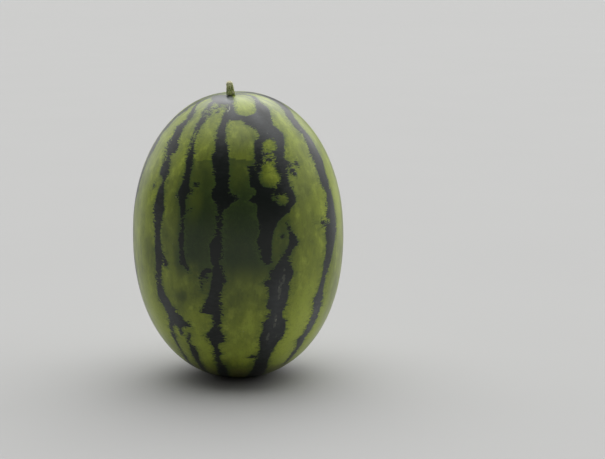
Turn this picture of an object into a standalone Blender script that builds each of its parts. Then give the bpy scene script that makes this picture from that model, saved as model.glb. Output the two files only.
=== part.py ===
"""An oblong striped watermelon with a stub of its stalk, standing on its blossom end.

Metres, +Z up. The origin is the middle of the small flat spot that the fruit stands on, and -Y is its front.
The fruit grew as one piece, so it is one solid. The stalk's stub is the other piece: its flared foot sits in
the shallow dimple at the fruit's upper end, a hair clear of the rind.
"""

import math

import bmesh
import bpy
from mathutils import Vector

# Driving dimensions of the fruit. Its length is from pole to pole, before the resting spot flattens it.
FRUIT_WIDTH = 0.188
FRUIT_LENGTH = 0.257
RESTING_RADIUS = 0.020
# Powers of the outline's superellipse: 2 is an ellipse, and more is blunter.
UPPER_POWER = 2.12
LOWER_POWER = 2.20
# The fruit's shallow lengthwise lobes.
LOBES = 12
LOBE_DEPTH = 0.0003
# The stalk grew a little off the fruit's middle, to the left and to the front, in a shallow dimple.
STALK_OFFSET = Vector((-0.0058, -0.0120))
DIMPLE_RADIUS = 0.013
DIMPLE_DEPTH = 0.0012
# Facets of the fruit. Its rings lie closer together near both ends, and this is how much.
FRUIT_SIDES = 60
FRUIT_RINGS = 36
RING_CROWDING = 0.8

# Driving dimensions of the stalk's stub. Its cut tip is worn round, and the cut face left is a share of its radius.
STALK_LENGTH = 0.0120
STALK_FOOT_RADIUS = 0.0040
STALK_TIP_RADIUS = 0.0027
STALK_TIP_WORN = 0.0026
STALK_CUT_SHARE = 0.45
STALK_RIBS = 5
STALK_RIB_DEPTH = 0.00030
STALK_BEND = 0.0004
STALK_CLEARANCE = 0.00035
STALK_SIDES = 25
STALK_RINGS = 11

HALF_WIDTH = FRUIT_WIDTH / 2
HALF_LENGTH = FRUIT_LENGTH / 2

RIND_GREEN = (0.16, 0.24, 0.045, 1.0)
STALK_GREEN = (0.17, 0.22, 0.05, 1.0)


def clear_scene():
    """Removes whatever the file held before."""
    for obj in list(bpy.data.objects):
        bpy.data.objects.remove(obj)


def plain_material(name, colour, roughness):
    """A Principled material of one colour."""
    material = bpy.data.materials.new(name)
    material.use_nodes = True
    shader = material.node_tree.nodes["Principled BSDF"]
    shader.inputs["Base Color"].default_value = colour
    shader.inputs["Roughness"].default_value = roughness
    shader.inputs["Metallic"].default_value = 0.0
    material.diffuse_color = colour
    return material


def height_over_middle(radius, power):
    """How far above or below its widest ring the fruit is, at that distance from its axis."""
    return HALF_LENGTH * max(0.0, 1.0 - (radius / HALF_WIDTH) ** power) ** (1.0 / power)


MIDDLE_HEIGHT = height_over_middle(RESTING_RADIUS, LOWER_POWER)


def ring_share(latitude, power):
    """The radius of the ring at a latitude, as a share of the widest ring's."""
    return abs(math.cos(latitude)) ** (2.0 / power)


def fruit_point(longitude, latitude):
    """A point on the fruit's skin. Longitude 0 is the front, and it grows to the right.

    Above the middle, each ring slides towards the stalk as it shrinks, so all meridians meet at the stalk.
    """
    power = UPPER_POWER if latitude > 0 else LOWER_POWER
    share = ring_share(latitude, power)
    slide = STALK_OFFSET * (1.0 - share) if latitude > 0 else Vector((0.0, 0.0))
    ring = HALF_WIDTH * share
    flat = Vector((math.sin(longitude), -math.cos(longitude))) * ring + slide
    height = height_over_middle(flat.length, power)
    if latitude < 0:
        height = -height
    lobe = 1.0 + LOBE_DEPTH / HALF_WIDTH * math.cos(LOBES * longitude) * share**2
    return Vector((flat.x * lobe, flat.y * lobe, MIDDLE_HEIGHT + height))


def stalk_seat():
    """The point where the meridians meet, before the dimple, and the skin's outward normal there."""
    radius = STALK_OFFSET.length
    height = height_over_middle(radius, UPPER_POWER)
    fall = HALF_LENGTH / HALF_WIDTH * (radius / HALF_WIDTH) ** (UPPER_POWER - 1.0)
    fall *= (height / HALF_LENGTH) ** (1.0 - UPPER_POWER)
    outwards = STALK_OFFSET.normalized() * fall
    normal = Vector((outwards.x, outwards.y, 1.0)).normalized()
    return Vector((STALK_OFFSET.x, STALK_OFFSET.y, MIDDLE_HEIGHT + height)), normal


def dimpled(point):
    """The point pressed in by the dimple round the stalk."""
    seat, normal = stalk_seat()
    reach = (point - seat).length / DIMPLE_RADIUS
    return point - normal * DIMPLE_DEPTH * math.exp(-(reach**2))


def ring_latitudes():
    """The latitudes of the fruit's rings, from the resting spot's edge to the last ring below the stalk."""
    edge_share = RESTING_RADIUS / HALF_WIDTH
    lowest = -math.acos(edge_share ** (LOWER_POWER / 2.0))
    highest = math.pi / 2
    for ring in range(FRUIT_RINGS):
        step = ring / FRUIT_RINGS
        eased = step - RING_CROWDING * math.sin(math.tau * step) / math.tau
        yield lowest + (highest - lowest) * eased


def ring_of_vertices(bm, points):
    """One closed ring of mesh vertices, one for each point."""
    return [bm.verts.new(point) for point in points]


def close_shell(bm, rings):
    """Joins the rings, lowest first, with quads and turns every face outwards."""
    for lower, upper in zip(rings, rings[1:]):
        sides = len(lower)
        for side in range(sides):
            after = (side + 1) % sides
            bm.faces.new((lower[side], lower[after], upper[after], upper[side]))
    bm.faces.new(list(reversed(rings[0])))


def finished_object(bm, name, material):
    """Makes the object from its mesh, shaded smooth apart from its sharp edges."""
    bmesh.ops.triangulate(bm, faces=bm.faces[:])
    bmesh.ops.recalc_face_normals(bm, faces=bm.faces[:])
    mesh = bpy.data.meshes.new(name)
    bm.to_mesh(mesh)
    bm.free()
    mesh.shade_smooth()
    mesh.set_sharp_from_angle(angle=math.radians(30))
    mesh.materials.append(material)
    obj = bpy.data.objects.new(name, mesh)
    bpy.context.scene.collection.objects.link(obj)
    return obj


def make_fruit():
    """The whole fruit: a blunt-ended oval with shallow lobes, a dimple above and a flat spot below."""
    bm = bmesh.new()
    rings = []
    for latitude in ring_latitudes():
        longitudes = (math.tau * side / FRUIT_SIDES for side in range(FRUIT_SIDES))
        rings.append(ring_of_vertices(bm, [dimpled(fruit_point(turn, latitude)) for turn in longitudes]))
    for vertex in rings[0]:
        vertex.co.z = 0.0
    close_shell(bm, rings)
    seat, _ = stalk_seat()
    pole = bm.verts.new(dimpled(seat))
    top = rings[-1]
    for side in range(FRUIT_SIDES):
        bm.faces.new((top[side], top[(side + 1) % FRUIT_SIDES], pole))
    return finished_object(bm, "fruit", plain_material("rind", RIND_GREEN, 0.45))


def stalk_radius(along):
    """The stalk's radius at a share of its length: it tapers from a broad foot to a tip that is worn round."""
    taper = STALK_TIP_RADIUS + (STALK_FOOT_RADIUS - STALK_TIP_RADIUS) * (1.0 - along) ** 1.4
    worn = max(0.0, 1.0 - (1.0 - along) * STALK_LENGTH / STALK_TIP_WORN)
    return taper * math.sqrt(1.0 - (1.0 - STALK_CUT_SHARE**2) * worn**2)


def make_stalk():
    """The stub of the stalk: a short ribbed cone, bent a little to the left, with its cut tip worn round."""
    seat, normal = stalk_seat()
    foot = seat + normal * (STALK_CLEARANCE - DIMPLE_DEPTH)
    left = normal.cross(Vector((0.0, 1.0, 0.0))).normalized()
    back = left.cross(normal)
    bm = bmesh.new()
    rings = []
    for ring in range(STALK_RINGS):
        along = 1.0 - (1.0 - ring / (STALK_RINGS - 1)) ** 1.5
        centre = foot + normal * STALK_LENGTH * along + left * STALK_BEND * along**2
        points = []
        for side in range(STALK_SIDES):
            turn = math.tau * side / STALK_SIDES
            rib = 1.0 + STALK_RIB_DEPTH / STALK_TIP_RADIUS * math.cos(STALK_RIBS * turn)
            radius = stalk_radius(along) * rib
            points.append(centre + radius * (math.cos(turn) * left + math.sin(turn) * back))
        rings.append(ring_of_vertices(bm, points))
    close_shell(bm, rings)
    bm.faces.new(rings[-1])
    return finished_object(bm, "stalk", plain_material("stalk_bark", STALK_GREEN, 0.7))


def main():
    clear_scene()
    make_fruit()
    make_stalk()


main()
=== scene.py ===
"""The looks of a whole oblong watermelon with jagged dark stripes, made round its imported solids.

It is laid out as a Blender add-on and run as a script. Lengths are in metres, +Z is up and -Y is the front.
Places on the rind are given as on a globe, in degrees. Latitude 90 is the stalk end and -90 is the blossom
end. Longitude 0 is the front, and it grows to the right.
"""

import math

import bpy
import numpy as np
from bpy.props import FloatProperty, FloatVectorProperty, IntProperty, PointerProperty
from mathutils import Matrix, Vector


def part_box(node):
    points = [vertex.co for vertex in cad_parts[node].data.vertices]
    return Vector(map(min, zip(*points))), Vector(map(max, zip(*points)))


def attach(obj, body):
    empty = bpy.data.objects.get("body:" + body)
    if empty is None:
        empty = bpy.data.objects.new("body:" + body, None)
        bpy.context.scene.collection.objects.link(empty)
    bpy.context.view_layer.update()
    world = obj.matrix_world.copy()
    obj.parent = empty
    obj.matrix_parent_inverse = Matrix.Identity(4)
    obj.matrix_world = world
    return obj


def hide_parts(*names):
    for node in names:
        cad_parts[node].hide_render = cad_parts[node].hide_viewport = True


bl_info = {
    "name": "Striped Watermelon",
    "version": (1, 0, 0),
    "blender": (4, 5, 0),
    "location": "3D Viewport > Sidebar > Melon",
    "description": "Makes a whole striped watermelon with its stalk's stub, and a plain stage for it",
    "category": "Add Mesh",
}

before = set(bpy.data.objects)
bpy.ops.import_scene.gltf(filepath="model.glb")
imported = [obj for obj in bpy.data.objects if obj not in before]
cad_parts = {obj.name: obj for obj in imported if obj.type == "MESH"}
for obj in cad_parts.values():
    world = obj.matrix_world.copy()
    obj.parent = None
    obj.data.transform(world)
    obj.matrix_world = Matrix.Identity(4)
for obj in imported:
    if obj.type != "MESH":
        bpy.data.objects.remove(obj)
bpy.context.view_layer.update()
FRUIT_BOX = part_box("fruit")

# The fruit's form, as the solids have it.
LOBES = 12
LOBE_DEPTH = 0.0003
FRUIT_WIDTH = FRUIT_BOX[1].x - FRUIT_BOX[0].x - 2 * LOBE_DEPTH
FRUIT_LENGTH = 0.257
RESTING_RADIUS = 0.020
UPPER_POWER = 2.12
LOWER_POWER = 2.20
STALK_OFFSET = Vector((-0.0058, -0.0120, 0.0))
DIMPLE_RADIUS = 0.013
DIMPLE_DEPTH = 0.0012
# What the rind has beyond the solids: a small blossom scar, and gentle dents that fade out near the floor.
SCAR_RADIUS = 0.004
RIND_DENTS = 0.0004
DENTS_FADE_HEIGHT = 0.012

# The stalk's form, as the solids have it.
STALK_LENGTH = 0.0120
STALK_FOOT_RADIUS = 0.0040
STALK_TIP_RADIUS = 0.0027
STALK_TIP_WORN = 0.0026
STALK_CUT_SHARE = 0.45
STALK_RIBS = 5
STALK_RIB_DEPTH = 0.00030
STALK_BEND = 0.0004
STALK_CLEARANCE = 0.00035
STALK_TAPER_POWER = 1.4
# What the stub has beyond the solids: a hollow in its cut face, and hairs up to just below its tip.
CUT_FACE_HOLLOW = 0.0004
HAIR_THICKNESS = 0.00008
HIGHEST_HAIR = 0.92
HAIR_SEED = 3
# Facets round the stub and along it, and the shares of those along it that close its foot and its cut face.
STALK_SIDES = 120
STALK_ROWS = 100
FOOT_SHARE = 0.04
FACE_SHARE = 0.14

# The front's stripes from the left to the right, each as rows from its upper end down to its lower end:
# latitude, left edge's longitude and right edge's longitude, in degrees.
OUTER_LEFT_STRIPE = (
    (88, -100, -86), (76, -90, -78), (70.5, -78, -70), (67, -68, -59), (64.5, -62, -53),
    (62, -59.5, -50.5), (60, -57, -50.5), (57.5, -58.5, -51), (55, -61.5, -50.5), (52.5, -60.5, -50),
    (50, -59, -49), (47.5, -58, -48), (45, -58.5, -46), (42, -58, -45), (40.2, -57, -46), (39, -55, -49),
    (37, -53.5, -48.5), (34, -54, -46.5), (30, -53, -46), (27, -49, -47), (24, -50, -46), (20, -52, -45),
    (15, -52, -43.5), (10, -50.5, -45), (4, -49.5, -45.5), (-2, -49.5, -43), (-6, -49.5, -45),
    (-11, -50, -46), (-13, -50.3, -45.5), (-16, -51, -44.5), (-18.5, -50.5, -41.7), (-21, -47.5, -39.2),
    (-23.5, -46.5, -37.5), (-24.2, -46, -34.5), (-26.5, -45.7, -33.2), (-28, -46, -33), (-30, -47, -35.5),
    (-31.2, -48, -40), (-33.5, -48.5, -46.3), (-36, -49.5, -46.8), (-40, -49, -46.8), (-44, -49.5, -47),
    (-49, -51, -48), (-55, -55, -51), (-62, -62, -55),
)
INNER_LEFT_STRIPE = (
    (88, -80, -15), (82, -62, -22), (79, -55, -32), (74, -48.5, -37), (71, -44.5, -33), (69, -43, -32),
    (66.5, -42, -29), (64.5, -40, -27), (62.5, -38.5, -29), (60, -38, -30.5), (57.5, -38, -32),
    (55, -37.3, -32), (52.5, -36.8, -32.3), (50, -36.3, -32.5), (47.5, -36, -32), (45, -36, -31),
    (42.5, -35.3, -30), (40, -35, -29.4), (37.5, -33.7, -28.7), (33, -33, -28.5), (28, -33.5, -28.5),
    (24, -35, -28), (20, -35.5, -29.5), (17, -32.5, -29), (10, -31, -29.5), (5, -32.5, -29),
    (0, -32, -29), (-3, -31.5, -27.8), (-4.5, -29.3, -26.6), (-6, -27.3, -25.8),
)
MIDDLE_LEFT_STRIPE = (
    (88, -20, 4), (80, -13, 3), (75, -10, 2), (72, -10.5, 2.5), (70, -10, 2.3), (67.5, -10, 2.3),
    (65, -13, 5), (62.5, -12.8, 4), (61, -13, -4), (59.5, -13.4, -6.5), (57.5, -14.4, -7),
    (55, -15.2, -7.8), (52.5, -15, -7.5), (47.5, -15.3, -7.3), (45, -14.8, -6), (42.5, -15.5, -5.8),
    (40, -16.7, -5), (37.5, -16.2, -4.5), (33, -14, -4.5), (27, -12.5, -5), (24, -15, -4),
    (21.5, -14.5, -1), (19, -12, -4), (16, -11, -8), (10, -11, -8.2), (6, -13, -8.2), (3, -15.5, -8.5),
    (-1, -15, -9), (-4, -13.5, -8.7), (-8, -13.7, -6), (-11, -15, -8.5), (-15, -17, -10),
    (-20, -21, -9.5), (-22, -21, -9.6), (-22.5, -15, -9.7), (-28, -15.5, -11), (-30, -17.5, -11),
    (-32, -20.5, -9.5), (-36, -19.5, -9), (-37, -18.7, -13.5), (-40, -17, -14.5), (-43.5, -19, -12),
    (-46, -17.5, -15), (-50, -18.5, -14.5), (-53, -19, -13), (-56, -21, -11), (-64, -25, -13),
    (-75, -30, -14), (-86, -34, -14),
)
MIDDLE_RIGHT_STRIPE = (
    (88, 75, 95), (80, 60, 74), (75, 47, 58), (72.5, 40, 52), (70, 34.5, 49), (67.5, 31, 49),
    (65, 27.5, 47.5), (63, 26, 45), (61, 25, 41.5), (58.7, 19, 38.7), (57, 16, 37), (55, 16.5, 35.6),
    (53.5, 17.8, 37), (51.5, 18.7, 38.5), (49, 18.2, 40), (47.5, 14.8, 39.3), (45, 13.2, 37.5),
    (42.5, 12.2, 35.5), (40, 12, 34.5), (37.5, 12, 32.5), (35, 11.5, 33.5), (30, 9, 31), (27, 9, 31),
    (24, 10, 32), (20.5, 9.5, 33), (18, 10, 33), (14, 9.5, 27), (11, 10.5, 21), (8, 11, 19), (4, 9, 17.5),
    (1, 11, 17.5), (-2, 12.5, 17.5), (-3, 14, 16.5),
)
LOWER_RIGHT_STRIPE = (
    (10.5, 25.5, 26.5), (7, 27, 29), (4, 27, 32.5), (2.5, 27, 33), (1, 25, 29.5), (-2, 21.5, 26.5),
    (-4.5, 18.5, 28.5), (-6.5, 16, 30), (-8.5, 15, 29), (-10, 12.5, 28), (-11.5, 16, 28),
    (-15, 16.5, 27.3), (-19, 14.5, 27), (-21.5, 17.3, 25), (-24, 16, 25), (-26.5, 14, 27.7),
    (-31, 14, 29), (-34, 12.3, 28.5), (-37, 13, 26), (-41, 13.7, 24.5), (-46, 12.5, 23), (-52, 12, 24),
    (-57, 12, 27), (-66, 10, 32), (-86, 6, 40),
)
OUTER_RIGHT_STRIPE = (
    (88, 112, 140), (76, 88, 108), (66, 76, 94), (61, 66, 84), (58, 60, 76), (55, 58.5, 70),
    (52.5, 57.5, 68.5), (50, 57.5, 67.5), (47.5, 59, 68), (45, 59.5, 69), (42.5, 58, 68.5),
    (40, 57.5, 68), (37.5, 56, 67.5), (32, 56, 67.5), (28, 56, 65), (23, 55, 64.5), (20, 58, 65),
    (12, 56.3, 65.5), (8, 54, 65.5), (4, 52.5, 65.5), (1, 53.7, 63), (-2, 53, 60.5), (-6, 51.5, 57.5),
    (-11, 50.5, 54.5), (-15, 49, 53), (-19, 46.5, 54.5), (-25, 48, 54.7), (-31, 47, 53.7),
    (-36, 45.5, 52), (-38, 42, 50.5), (-43, 44, 50.5), (-50, 45, 50), (-58, 46, 50),
)
# What reaches out from those stripes or lies by them, in the same rows.
OFFSHOOTS = (
    ((88, -96, 6), (84, -92, 5), (81, -84, 4), (79, -68, 4), (77, -45, 3), (75, -32, 0)),
    ((66.4, -6, 2.5), (65.6, -6, 3.5), (64.7, -6, 5.8), (63.7, -6, 9.5), (63, -6, 15), (62.3, -6, 16),
     (61.4, -6, 9), (60.8, -6, 6)),
    ((66.5, 29, 35), (65.2, 27, 35), (64.4, 25.5, 35), (63.6, 20.5, 35), (63.1, 14, 35), (62, 7, 35),
     (61, 6.5, 35), (60.4, 7.3, 35), (58.5, 9.3, 32), (57, 11.7, 30), (55.5, 14.7, 28), (54, 17.7, 25)),
    ((22, -6, -1), (21, -6, 1.5), (20, -5, -2)),
    ((22, 8, 12), (20, 5, 12), (19, 8, 12)),
    ((-2, -46, -42), (-4, -44, -39.5), (-5, -43, -41)),
    ((-27.3, -35, -31.5), (-28.3, -35, -28.5), (-29.2, -35, -31)),
    ((-30, -40.5, -36.5), (-32, -40, -37.3), (-34, -39.2, -37.3)),
    ((-33, -33.5, -31.5), (-36, -35.2, -33.5), (-39, -36.2, -34.3), (-40.7, -36.3, -31.5),
     (-44.7, -37.3, -31), (-47, -38.5, -32), (-50, -39, -33.7), (-56.5, -41, -35.5), (-65, -48, -41),
     (-80, -60, -46)),
    ((-4.6, -18, -14), (-5.6, -19.5, -14), (-6.3, -20.3, -17.5), (-7.3, -20.5, -18.5), (-8.3, -20, -19)),
    ((-45.6, 8, 14), (-46.3, 4, 14), (-47, 9, 14)),
    ((35, 6, 12), (31, 7, 12), (26, 7, 12)),
    ((34, 33, 35), (31, 33, 37), (29, 36, 38)),
)
# Small dark flecks beside the stripes, and small light gaps in them: latitude, longitude, half height and
# half width.
DARK_FLECKS = (
    (27.2, -24.4, 0.7, 1.5), (16.3, -26.5, 0.8, 1.2), (23.8, -56, 1.0, 1.0), (38, 21.3, 2.0, 1.6),
    (33.6, 39.8, 0.9, 1.4), (5.7, 23.5, 0.8, 1.5), (-35.5, -46.5, 1.2, 1.0), (24, -27.6, 1.0, 1.2),
    (8.3, 51, 0.5, 1.2), (-10, -19.6, 1.2, 0.6), (-7.6, -17.0, 0.6, 0.7), (72.5, -22, 0.9, 4.0),
    (70, -27, 0.8, 2.5), (67.5, -21, 0.7, 1.8),
)
LIGHT_GAPS = (
    (44.3, 24.8, 3.0, 5.2), (39.2, 22, 3.4, 4.0), (33.5, 20, 3.6, 4.6), (29.0, 19.5, 4.2, 6.4),
    (19.6, 25.3, 2.2, 3.3), (20.8, 19.6, 1.0, 0.8), (37.5, -56, 1.6, 3.0), (8.5, 57, 0.6, 1.1),
    (-31.5, -42.5, 1.8, 2.0), (51.0, -34.5, 2.4, 0.7), (46.5, -34.0, 2.0, 0.5), (67.5, -35, 0.8, 3.0),
    (64, -33, 0.5, 3.0),
)
# Dry scuffs: latitude, longitude, half height and half width.
SCUFFS = (
    (48.4, 62, 0.5, 3.2), (-8, 24, 3.5, 0.8), (-13, 22, 4.0, 0.9), (-25, 21, 2.0, 1.0),
    (-28.2, 21, 1.5, 0.9), (-34, 18, 2.2, 1.2), (-34, 23, 1.4, 0.6),
)
# Pale scratches, in the same way.
SCRATCHES = (
    (70.9, -5.3, 2.7, 0.9), (68.2, -7.3, 0.6, 1.6), (-25.5, 21.5, 1.0, 0.35), (-28.5, 21.0, 0.7, 0.4),
    (-37, 17.5, 0.6, 0.4), (-37, 24, 0.4, 0.5), (-15, 23, 0.6, 0.25), (-11.5, 21.5, 0.6, 0.25),
    (-30, 52, 0.4, 0.6), (-7.5, 23, 0.35, 0.3), (-7.5, 2.5, 0.3, 0.3), (3.5, 3.5, 0.3, 0.3),
)
# Places where the stripes break up into specks: latitude, longitude, half height, half width and how much.
BROKEN_PLACES = (
    (42, -52, 10, 9, 1.0), (57, -60, 8, 7, 0.5), (66, -34, 8, 12, 0.4), (50, -34, 9, 4, 0.25),
    (38, 22, 9, 8, 0.8), (66, -17, 7, 7, 0.6), (20, 25, 4, 5, 0.2), (40, 62, 9, 9, 0.5),
    (-26, -41, 9, 9, 0.55), (-30, 21, 12, 5, 0.2), (34, 38, 5, 5, 0.8), (56, 12, 4, 6, 0.5),
    (74, -24, 9, 26, 0.9), (68, -52, 7, 12, 0.5), (40, 128, 10, 9, 0.8), (-30, 160, 9, 9, 0.5),
    (10, -134, 8, 8, 0.6), (55, -108, 8, 10, 0.6), (-45, -166, 10, 8, 0.7), (5, 98, 9, 8, 0.5),
    (30, -166, 8, 7, 0.5), (-20, -84, 9, 8, 0.5),
)
# Where the light ground is deeper, less than 0, or paler, partly by the rind's own tone and partly by
# painted light and shade, such as the painted shade round the blossom end and the painted light on the
# lower half: latitude, longitude, half height, half width and how much.
TONE_AND_PAINTED_LIGHT_PLACES = (
    (-40, 0, 28, 500, 0.42), (-38, 45, 44, 31, 1.0), (-26, -60, 26, 18, 0.65), (-58, -6, 16, 38, -0.6),
    (-88, 0, 34, 500, -1.2), (74, 16, 14, 30, 0.5), (54, 50, 20, 18, 0.2), (12, 55, 24, 12, 0.45),
    (14, 74, 26, 14, 0.8), (42, 4, 8, 20, -0.4), (22, 33, 18, 12, -0.4), (48, -26, 12, 12, 0.3),
    (-20, 0, 14, 46, -0.2), (8, -36, 22, 6, 0.4), (10, -57, 16, 8, -0.2), (22, -24, 14, 7, 0.35),
    (4, 20, 12, 7, 0.45), (56, 8, 8, 10, 0.35), (-8, -25, 8, 7, 0.4), (-48, -45, 9, 9, 0.4),
    (22, 43, 10, 9, -0.25), (-19, 1, 9, 10, -0.22), (-15.5, -33, 4, 7, -0.6), (-20.5, -35, 5, 6, -0.5),
    (-12, -39, 12, 7, -0.3), (10, 51, 10, 7, 0.2), (12, 40, 20, 6, -0.12), (-36, 3, 9, 9, -0.2),
)
# Where a greyish bloom lies on the dark stripes, in the same way. The grey is partly their own bloom and
# partly painted sheen, most of all round the stalk and low on the right.
BLOOM_AND_PAINTED_SHEEN_PLACES = (
    (-22, 22, 34, 14, 0.7), (-28, 50, 40, 14, 1.1), (14, 62, 24, 14, 0.7), (-24, -44, 20, 16, 0.6),
    (48, 30, 18, 18, 0.7), (84, 0, 14, 500, 0.5), (80, -6, 12, 22, 1.3), (64, 24, 12, 12, 0.9),
    (66, 0, 10, 14, 0.6),
)
# The painted shadow over the front, which deepens its green, in the same rows as the stripes.
PAINTED_SHADE_ZONE = (
    (38.6, -32, 13), (36, -34.5, 14.5), (30, -38, 19), (24, -42, 27), (18, -46, 33), (10, -49, 36),
    (4, -50, 36), (-2, -48, 34), (-7, -44, 32), (-12, -38, 26), (-16, -30, 18), (-20, -20, 8),
)
# How far in from its sides it fades, high up and from a lower latitude down, and how far up from below.
PAINTED_SHADE_FADES = ((38, 0.004), (15, 0.026))
PAINTED_SHADE_LOWER_FADE = 20
# How strong it is at its sharp upper edge, and how far below that it is in full.
PAINTED_SHADE_START = 0.62
PAINTED_SHADE_DEEPENING = 18
# Its edges waver up and down, by this many degrees and with this many waves round the fruit.
PAINTED_SHADE_WAVE = 0.7
PAINTED_SHADE_WAVES = 11
# The middles of the stripes that the front doesn't show, and the latitude that they reach up and down to.
HIDDEN_STRIPES = (98, 128, 160, -166, -134, -108, -84)
HIDDEN_STRIPE_END = 86.0
SPURS_ON_EACH = 4

# The frame's size and the fruit's middle in it, in pixels, and the lens and the sensor, in millimetres.
FRAME_SIZE = (605, 459)
FRUIT_IN_FRAME = (238.5, 234.9)
LENS = 85.0
SENSOR = 36.0
CAMERA_REACH = 400.0
# The studio's floor: its nested squares, each with how far it reaches from the middle and how high it lies.
FLOOR_SQUARES = ((10.0, 0.0), (20.0, 0.1), (30.0, 0.5), (40.0, 1.2), (50.0, 2.2))
# The studio's softboxes: the way to its middle, the half angles of its core and its rim, and how bright.
SOFTBOXES = (
    ((0.0, 0.30, 0.95), 30, 50, 1.9),
    ((0.0, 0.0, 1.0), 15, 35, 0.9),
    ((0.0, 0.74, 0.67), 12, 30, 1.7),
    ((0.47, 0.73, 0.50), 10, 26, 1.2),
    ((0.53, 0.82, 0.21), 10, 24, 0.4),
    ((-0.53, 0.82, 0.21), 10, 24, 1.0),
    ((0.75, 0.43, 0.50), 12, 28, 1.3),
    ((-0.75, 0.43, 0.50), 12, 28, 1.0),
    ((0.86, -0.08, 0.50), 15, 35, 0.9),
    ((-0.86, -0.08, 0.50), 15, 35, 0.2),
)

# The kind of input that geometry nodes have for each kind of value.
SOCKET_KINDS = {
    float: "NodeSocketFloat",
    int: "NodeSocketInt",
    Vector: "NodeSocketVector",
    bpy.types.Object: "NodeSocketObject",
}


def metres(name, description, default):
    """A length that a user may change."""
    return FloatProperty(
        name=name, description=description, default=default, min=0.0, unit="LENGTH", precision=4
    )


def colour(name, description, default):
    """A colour that a user may change, as linear red, green and blue."""
    return FloatVectorProperty(
        name=name, description=description, default=default, size=3, min=0.0, max=1.0, subtype="COLOR"
    )


class FruitSettings(bpy.types.PropertyGroup):
    """The fruit's sizes and colours."""

    width: metres("Width", "Across the fruit between its lobes", FRUIT_WIDTH)
    length: metres("Length", "From pole to pole, before the resting spot flattens it", FRUIT_LENGTH)
    resting_radius: metres("Resting Radius", "Of the flat spot that the fruit stands on", RESTING_RADIUS)
    stalk_offset: FloatVectorProperty(
        name="Stalk Offset",
        description="From the fruit's axis to the place where the stalk grew",
        default=STALK_OFFSET,
        size=3,
        unit="LENGTH",
    )
    lobe_depth: metres("Lobe Depth", "How far the shallow lengthwise lobes stand out", LOBE_DEPTH)
    dimple_depth: metres("Dimple Depth", "How far the rind sinks in round the stalk", DIMPLE_DEPTH)
    scar_depth: metres("Scar Depth", "How far the blossom's scar sinks in", 0.0008)
    sides: IntProperty(name="Sides", description="Facets round the fruit", default=384, min=12, max=384)
    rings: IntProperty(name="Rings", description="Facets from end to end", default=256, min=12, max=256)
    seed: IntProperty(name="Seed", description="Changes the hidden side's stripes", default=7, min=0)
    spike: metres("Spike Length", "How far the stripes' fine teeth reach out", 0.0025)
    # Pale Green and Deep Green are the ground's own tones, and they also paint light and shade on it.
    pale: colour("Pale Green", "The light ground's palest yellowish green", (0.403, 0.482, 0.062))
    ground: colour("Ground Green", "The light ground's usual green", (0.246, 0.301, 0.030))
    deep: colour("Deep Green", "The light ground's deeper green", (0.018, 0.034, 0.012))
    fringe: colour("Fringe Green", "The green that the stripes fade into", (0.050, 0.085, 0.018))
    dark: colour("Stripe Green", "The stripes' own green", (0.007, 0.010, 0.008))
    # The bluish bloom and the wax grey the stripes, partly as their own bloom and partly as painted sheen.
    bluish: colour("Bluish Bloom", "The greyer parts of the stripes", (0.055, 0.060, 0.062))
    wax_and_painted_sheen: colour("Wax", "The pale grey wax on the stripes round the stalk", (0.190, 0.200, 0.205))
    # Blossom End is partly the end's own duller tone and partly painted contact shade.
    tip: colour("Blossom End", "The duller ground round the blossom end", (0.140, 0.130, 0.030))
    scuff: colour("Scuff", "Dry scuffs and the blossom's scar", (0.320, 0.330, 0.240))


class StalkSettings(bpy.types.PropertyGroup):
    """The stalk's sizes and colours."""

    length: metres("Length", "Along the stub", STALK_LENGTH)
    foot_radius: metres("Foot Radius", "Where it joins the fruit", STALK_FOOT_RADIUS)
    tip_radius: metres("Tip Radius", "Just below its worn tip", STALK_TIP_RADIUS)
    rib_depth: metres("Rib Depth", "How far its ribs stand out", STALK_RIB_DEPTH)
    knobs: metres("Knobs", "How deep its skin is pitted", 0.0005)
    down: metres("Down", "The length of its fine pale hairs", 0.0007)
    down_density: FloatProperty(
        name="Down Density", description="Hairs for each square metre", default=6e6, min=0.0
    )
    green: colour("Green", "Its fresh skin", (0.450, 0.500, 0.180))
    # Shaded Green colours the stalk's darker blotches, and the painted shade towards its foot.
    shaded: colour("Shaded Green", "Its hollows and its foot", (0.150, 0.190, 0.050))
    dry: colour("Dry Edge", "Its dried ribs, hairs and cut tip", (0.800, 0.760, 0.520))


class StageSettings(bpy.types.PropertyGroup):
    """The floor, the light and the camera's place."""

    floor: colour("Floor", "The plain floor", (0.37, 0.37, 0.365))
    light: FloatProperty(name="Light", description="Brightness of the softboxes", default=1.0, min=0.0)
    dusk: FloatProperty(
        name="Dusk", description="Brightness of the dim walls between them", default=0.03, min=0.0
    )
    elevation: FloatProperty(
        name="Elevation",
        description="The camera's height over the fruit's middle",
        default=math.radians(10),
        subtype="ANGLE",
    )
    distance: metres("Distance", "From the camera to the fruit's middle", 1.281)


def node(tree, kind, inputs=None, **settings):
    """Adds a node, with its own settings and with inputs from sockets or plain values."""
    made = tree.nodes.new(kind)
    for name, value in settings.items():
        setattr(made, name, value)
    for key, value in (inputs or {}).items():
        feed(tree, made.inputs[key], value)
    return made


def feed(tree, socket, value):
    """Links a socket, or sets it to a plain value."""
    if isinstance(value, bpy.types.NodeSocket):
        tree.links.new(value, socket)
    else:
        socket.default_value = value


def maths(tree, operation, *values, clamp=False):
    """One step of arithmetic on sockets and numbers."""
    made = node(tree, "ShaderNodeMath", operation=operation, use_clamp=clamp)
    for socket, value in zip(made.inputs, values):
        feed(tree, socket, value)
    return made.outputs[0]


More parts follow.
